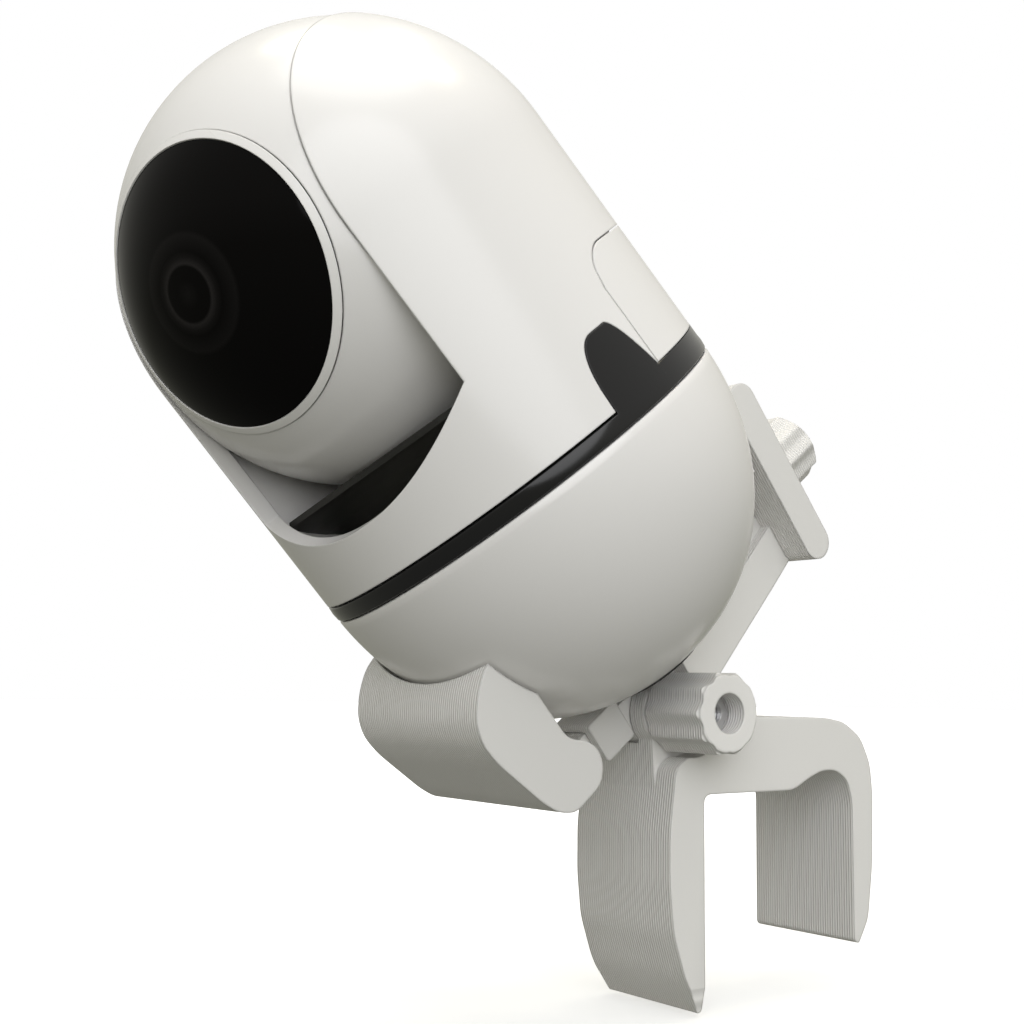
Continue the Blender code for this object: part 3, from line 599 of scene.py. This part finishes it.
def head_pieces(paints):
    to_front = turn(90, "X")
    halves = (("head_front_shell", -60, HEAD_SPLIT_Y), ("head_rear_shell", HEAD_SPLIT_Y + 0.12, 60))
    for name, low, high in halves:
        shell = head_ball("shell", HEAD_RADIUS, HEAD_HALF, HEAD_CUT_Z)
        cut(shell, head_ball("hollow", HEAD_RADIUS - HEAD_WALL, HEAD_HALF - 1.5, HEAD_CUT_Z + 1.6))
        keep(shell, box("half", (-60, low, -60), (60, high, 60)))
        if high == HEAD_SPLIT_Y:
            hole = HEAD_RADIUS * math.sin(math.radians(TRIM_DEG)) + 0.1
            cut(shell, rod("window_hole", hole, -60, -10, "Y", segments=144))
        show(shell, name + "_skin", HEAD, "camera_head", "white_shell", paints["white_shell"], name)
    profile = arc(HEAD_RADIUS, 90, 90 - WINDOW_DEG, 30) + arc(HEAD_RADIUS - 1.4, 90 - WINDOW_DEG, 90, 8)
    window = revolve("window", profile, 144)
    show(transformed(window, to_front), "face_window_glass", HEAD, "camera_head", "black_gloss",
         paints["window"], "face_window", own_axes=True)
    start = WINDOW_DEG + 0.12
    profile = arc(HEAD_RADIUS + 0.2, 90 - start, 90 - TRIM_DEG, 4)
    profile += arc(HEAD_RADIUS - 2.0, 90 - TRIM_DEG, 90 - start, 4)
    trim = revolve("trim", profile, 144, closed=True)
    show(transformed(trim, to_front), "face_trim_bead", HEAD, "camera_head", "white_trim",
         paints["white_trim"], "face_trim_ring")


def camera_clearance(grow):
    """The base dome and a shaft up from it, as the cradle pieces leave them."""
    profile = [(0, FOOT_Z - 1.5), (9.0, FOOT_Z - 1.5)] + dome_points(0, FOOT_Z - 0.2, 40, grow)[::-1]
    return revolve("clearance", profile + [(RADIUS + grow, 70), (0, 70)], 144)


def cradle_piece(paints):
    body = rod("hub", EAR_R, -3.1, 3.1, "X", segments=72)
    join(body, box("neck", (-3.1, -7.6, 0.4), (3.1, -1.0, 6.0)))
    outline = [(-14.0, 0.8), (-6.95, 0.8), (-6.95, 7.9), (-14.0, 7.9)]
    socket = prism("socket", rounded(outline, 0.8), -4.4, 4.4, "X")
    channel_low = (-SLIDER_HALF - 0.25, -20, SLIDER_LOW - 0.25)
    cut(socket, box("channel", channel_low, (SLIDER_HALF + 0.25, -8.1, SLIDER_HIGH + 0.25)))
    join(body, socket)
    join(body, prism("root", [(-0.5, -4.5), (8.5, -3.2), (8.5, 6.3), (-1.0, 6.1)], -3.1, 3.1, "X"))
    arm = [(7.2, -3.3), (20.0, -0.8), (33.0, 1.7), (43.0, 3.8)]
    arm += [(40.5, 11.0), (30.0, 8.9), (18.0, 6.8), (7.2, 5.4)]
    join(body, prism("arm", rounded(arm, 0.8, 3), -6.4, 6.4, "X"))
    web = [(10.0, 4.0), (38.0, 9.0), (40.5, 10.5), (40.5, 12.9), (30.0, 12.5), (20.0, 10.5), (10.0, 7.0)]
    join(body, prism("web", web, -4.4, 4.4, "X"))
    plate = []
    for end_z, first in ((PLATE_LOW, 180), (PLATE_HIGH, 0)):
        for angle in spread(first, first + 180, 24):
            turn_at = math.radians(angle)
            plate.append((PLATE_Y + PLATE_R * math.cos(turn_at), end_z + PLATE_R * math.sin(turn_at)))
    join(body, prism("plate", plate, -REAR_JAW_HALF, REAR_JAW_HALF, "X"))
    cut(body, transformed(camera_clearance(PRINT_FIT), CAMERA_IN_CRADLE))
    cut(body, rod("screw_bore", BOLT_R + 0.08, 34, 60, "Y", (0.0, SCREW_Z), 40))
    show(body, "cradle_print", CRADLE, "cradle", "white_print", paints["white_print"], "cradle_frame")
    back = PLATE_Y - PLATE_R - PAD_TRAVEL - 0.35
    pad = box("pad", (-REAR_JAW_HALF + 0.8, 26.0, 22.5), (REAR_JAW_HALF - 0.8, back, 34.6))
    join(pad, box("stem", (-4.2, 20.0, 13.3), (4.2, back, 24.5)))
    cut(pad, transformed(camera_clearance(PRINT_FIT), CAMERA_IN_CRADLE))
    show(pad, "pressure_pad_print", CRADLE, "pad", "white_print", paints["white_print"], "pressure_pad")


def front_jaw_piece(paints):
    side = [(-28.1, 33.5), (-31.1, 32.7), (-34.1, 30.6), (-36.7, 27.7), (-37.7, 24.5), (-37.3, 20.7)]
    side += [(-34.5, 11.1), (-33.1, 8.1), (-30.7, 6.1), (-24.6, 6.3), (-22.6, 8.1), (-21.8, 10.5)]
    side += [(-22.6, 12.9), (-25.4, 15.5), (-26.1, 32.7)]
    jaw = prism("jaw", rounded(side, 2.0, 5), -JAW_HALF, JAW_HALF, "X")
    bar = [(-29.0, SLIDER_LOW + 4.6), (-29.0, SLIDER_HIGH + 5.6), (-24.5, SLIDER_HIGH + 4.4)]
    bar += [(-17.4, SLIDER_HIGH), (-8.5, SLIDER_HIGH), (-8.5, SLIDER_LOW), (-19.5, SLIDER_LOW)]
    join(jaw, prism("bar", bar, -SLIDER_HALF, SLIDER_HALF, "X"))
    cut(jaw, transformed(camera_clearance(PRINT_FIT), CAMERA_IN_CRADLE))
    show(jaw, "front_jaw_print", CRADLE, "front_jaw", "white_print", paints["white_print"], "front_jaw")


def clip_piece(paints):
    half = RAIL_DEPTH / 2
    front = [(-half, 0.0), (-half, -34.0), (-half - 0.8, -34.4), (-half - 4.2, -28.5), (-half - 6.6, -21.5)]
    front += [(-half - 7.4, -14.0), (-half - 7.4, -6.0), (-half - 6.6, 0.0), (-half - 6.0, 4.5)]
    top = [(-half + 0.5, 8.0), (-half + 5.0, 8.2), (-half + 8.0, 10.4), (-half + 11.5, 12.4)]
    top += [(half - 7.0, 12.2), (half - 2.0, 11.4), (half + 2.4, 8.6), (half + 4.8, 4.0)]
    top += [(half + 5.4, -1.5), (half + 4.9, -14.0), (half + 3.6, -23.0), (half + 1.0, -27.0)]
    arch = [(half, -26.4), (half, -2.4), (half - 1.2, 1.2), (half - 4.0, 3.0)]
    arch += [(half - 7.5, 3.2), (half - 11.0, 2.0), (half - 15.0, 0.0)]
    clip = prism("clip", rounded(front + top + arch, 1.6, 4), -CLIP_HALF, CLIP_HALF, "X")
    hinge = (HINGE_Y, HINGE_Z)
    ears = []
    for angle in spread(-25, 225, 48):
        turn_at = math.radians(angle)
        ears.append((HINGE_Y + EAR_R * math.cos(turn_at), HINGE_Z + EAR_R * math.sin(turn_at)))
    ears += [(-half - 6.3, -1.0), (-half + 8.0, 2.0), (-half + 6.5, 8.6)]
    join(clip, prism("ears", ears, -EAR_OUT, EAR_OUT, "X"))
    cut(clip, rod("tongue_space", EAR_R + 0.5, -EAR_IN, EAR_IN, "X", hinge, 72))
    cut(clip, box("tongue_front", (-EAR_IN, HINGE_Y - 12, HINGE_Z - 1.0), (EAR_IN, HINGE_Y, HINGE_Z + 10)))
    cut(clip, box("tongue_back", (-EAR_IN, HINGE_Y, HINGE_Z - 2.5), (EAR_IN, HINGE_Y + 12, HINGE_Z + 10)))
    for low, high in ((-20, -EAR_OUT), (EAR_OUT, 20)):
        cut(clip, rod("knob_space", KNOB_R + 0.6, low, high, "X", hinge, 72))
    for sign in (-1, 1):
        bevel = [(sign * x, z) for x, z in ((-14, -20), (-9.5, -40), (-14, -40))]
        cut(clip, prism("bevel", bevel, -half - 20, half + 20, "Y"))
    show(clip, "rail_clip_print", Matrix.Identity(4), "clip", "white_print",
         paints["white_print"], "rail_clip")


def knob_piece(name, matrix, body, paints, node):
    """A fluted hand knob along local X, with a nut seat in its outer end."""
    per_flute = 14
    outline = []
    for i in range(KNOB_FLUTES * per_flute):
        phase = (i % per_flute) / per_flute
        radius = KNOB_R - 0.75 * math.sin(math.pi * phase) ** 1.4
        at = 2 * math.pi * i / (KNOB_FLUTES * per_flute)
        outline.append((radius * math.cos(at), radius * math.sin(at)))
    knob = prism("knob", outline, 0, KNOB_LENGTH, "X")
    profile = [(0, -1), (KNOB_R - 1.7, -1), (KNOB_R + 1.3, 2.0), (KNOB_R + 1.3, KNOB_LENGTH - 2.0)]
    profile += [(KNOB_R - 1.7, KNOB_LENGTH + 1), (0, KNOB_LENGTH + 1)]
    ends = revolve("ends", profile, 140)
    keep(knob, transformed(ends, turn(90, "Y")))
    cut(knob, rod("bore", BOLT_R + 0.06, -1, KNOB_LENGTH + 1, "X", segments=40))
    cut(knob, rod("seat", NUT_R + 0.15, KNOB_LENGTH - 6.5, KNOB_LENGTH + 1, "X", segments=72))
    show(knob, name, matrix, body, "white_print", paints["white_print"], node, sharp=38.0, own_axes=True)


# Set

def lit_world():
    """Soft room light: bright overhead, dimmer below, with a warm olive cast near the horizon."""
    world = bpy.data.worlds.new("room")
    bpy.context.scene.world = world
    world.use_nodes = True
    nodes, links = world.node_tree.nodes, world.node_tree.links
    place = nodes.new("ShaderNodeTexCoord")
    split = nodes.new("ShaderNodeSeparateXYZ")
    links.new(place.outputs["Generated"], split.inputs["Vector"])
    ramp = nodes.new("ShaderNodeValToRGB")
    half = nodes.new("ShaderNodeMapRange")
    half.inputs["From Min"].default_value = -1.0
    half.inputs["From Max"].default_value = 1.0
    links.new(split.outputs["Z"], half.inputs["Value"])
    links.new(half.outputs["Result"], ramp.inputs["Fac"])
    below, horizon = (0.24, 0.24, 0.22), (0.34, 0.34, 0.28)
    wall, ceiling = (0.70, 0.69, 0.62), (0.90, 0.89, 0.87)
    fill_ramp(ramp.color_ramp, ((0.0, below), (0.44, horizon), (0.60, wall), (1.0, ceiling)))
    background = nodes["Background"]
    background.inputs["Strength"].default_value = WORLD_STRENGTH
    links.new(ramp.outputs["Color"], background.inputs["Color"])


def emission(name, colour, strength):
    made = bpy.data.materials.new(name)
    made.use_nodes = True
    nodes = made.node_tree.nodes
    nodes.remove(nodes["Principled BSDF"])
    light = nodes.new("ShaderNodeEmission")
    light.inputs["Color"].default_value = (*colour, 1.0)
    light.inputs["Strength"].default_value = strength
    made.node_tree.links.new(light.outputs["Emission"], nodes["Material Output"].inputs["Surface"])
    return made


def stage(floor_z):
    """A pale floor that fades to the white surround, which only the camera sees."""
    floor = revolve("floor", [(0, -2), (3000, -2), (3000, 0), (0, 0)], 96)
    floor.location.z = floor_z
    paint = Paint("floor_paper", (0.80, 0.80, 0.79), 0.7)
    nodes, links = paint.nodes, paint.links
    paint.bump(paint.noise(80, 3), 0.1, 0.2)
    place = nodes.new("ShaderNodeTexCoord")
    distance = nodes.new("ShaderNodeVectorMath")
    distance.operation = "LENGTH"
    links.new(place.outputs["Object"], distance.inputs[0])
    fade = nodes.new("ShaderNodeMapRange")
    fade.inputs["From Min"].default_value = 0.05
    fade.inputs["From Max"].default_value = 0.45
    fade.inputs["To Min"].default_value = 0.42
    fade.inputs["To Max"].default_value = 1.0
    links.new(distance.outputs["Value"], fade.inputs["Value"])
    paint.shader.inputs["Emission Color"].default_value = (1.0, 1.0, 1.0, 1.0)
    links.new(fade.outputs["Result"], paint.shader.inputs["Emission Strength"])
    floor.data.materials.append(paint.material)
    floor.visible_diffuse = False
    floor.visible_glossy = False
    surround = revolve("surround", arc(4000, -90, 90, 32), 64)
    surround.data.materials.append(emission("surround_white", (1, 1, 1), 1.0))
    for kind in ("visible_diffuse", "visible_glossy", "visible_shadow", "visible_transmission"):
        setattr(surround, kind, False)


def softbox(name, place, aim, size, power, colour):
    light = bpy.data.lights.new(name, "AREA")
    light.shape = "DISK"
    light.size = size
    light.energy = power
    light.color = colour
    obj = bpy.data.objects.new(name, light)
    bpy.context.scene.collection.objects.link(obj)
    obj.location = place
    obj.rotation_euler = (Vector(aim) - Vector(place)).to_track_quat("-Z", "Y").to_euler()


def add_camera():
    data = bpy.data.cameras.new("view")
    data.sensor_width = 36.0
    data.lens = 50.0
    camera = bpy.data.objects.new("view", data)
    bpy.context.scene.collection.objects.link(camera)
    right = Vector(VIEW_RIGHT).normalized()
    ahead = Vector(VIEW_AHEAD)
    ahead = (ahead - ahead.dot(right) * right).normalized()
    up = right.cross(ahead)
    camera.matrix_world = Matrix((
        (right.x, up.x, -ahead.x, VIEW_PLACE[0]),
        (right.y, up.y, -ahead.y, VIEW_PLACE[1]),
        (right.z, up.z, -ahead.z, VIEW_PLACE[2]),
        (0, 0, 0, 1),
    ))
    bpy.context.scene.camera = camera


def paint_cad_nodes(frame, paints):
    """Gives every CAD node its slot's paint. The nodes that are not replaced keep it."""
    for row in frame["record"]["subparts"]:
        node = frame["nodes"].get(row["node"])
        if node:
            node.data.materials.clear()
            node.data.materials.append(paints[row["material_slot"]])


def main():
    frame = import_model()
    paints = make_paints()
    paint_cad_nodes(frame, paints)
    hood_pieces(paints)
    ring_piece(paints)
    base_piece(paints)
    head_pieces(paints)
    cradle_piece(paints)
    front_jaw_piece(paints)
    clip_piece(paints)
    knob_piece("pivot_knob_print", PIVOT_KNOB, "pivot_screw", paints, "pivot_knob")
    knob_piece("jaw_knob_print", JAW_KNOB, "jaw_screw", paints, "jaw_knob")
    lit_world()
    stage(FLOOR_Z)
    for light in LIGHTS:
        softbox(*light)
    add_camera()
    bpy.context.scene.view_settings.view_transform = "Standard"


main()
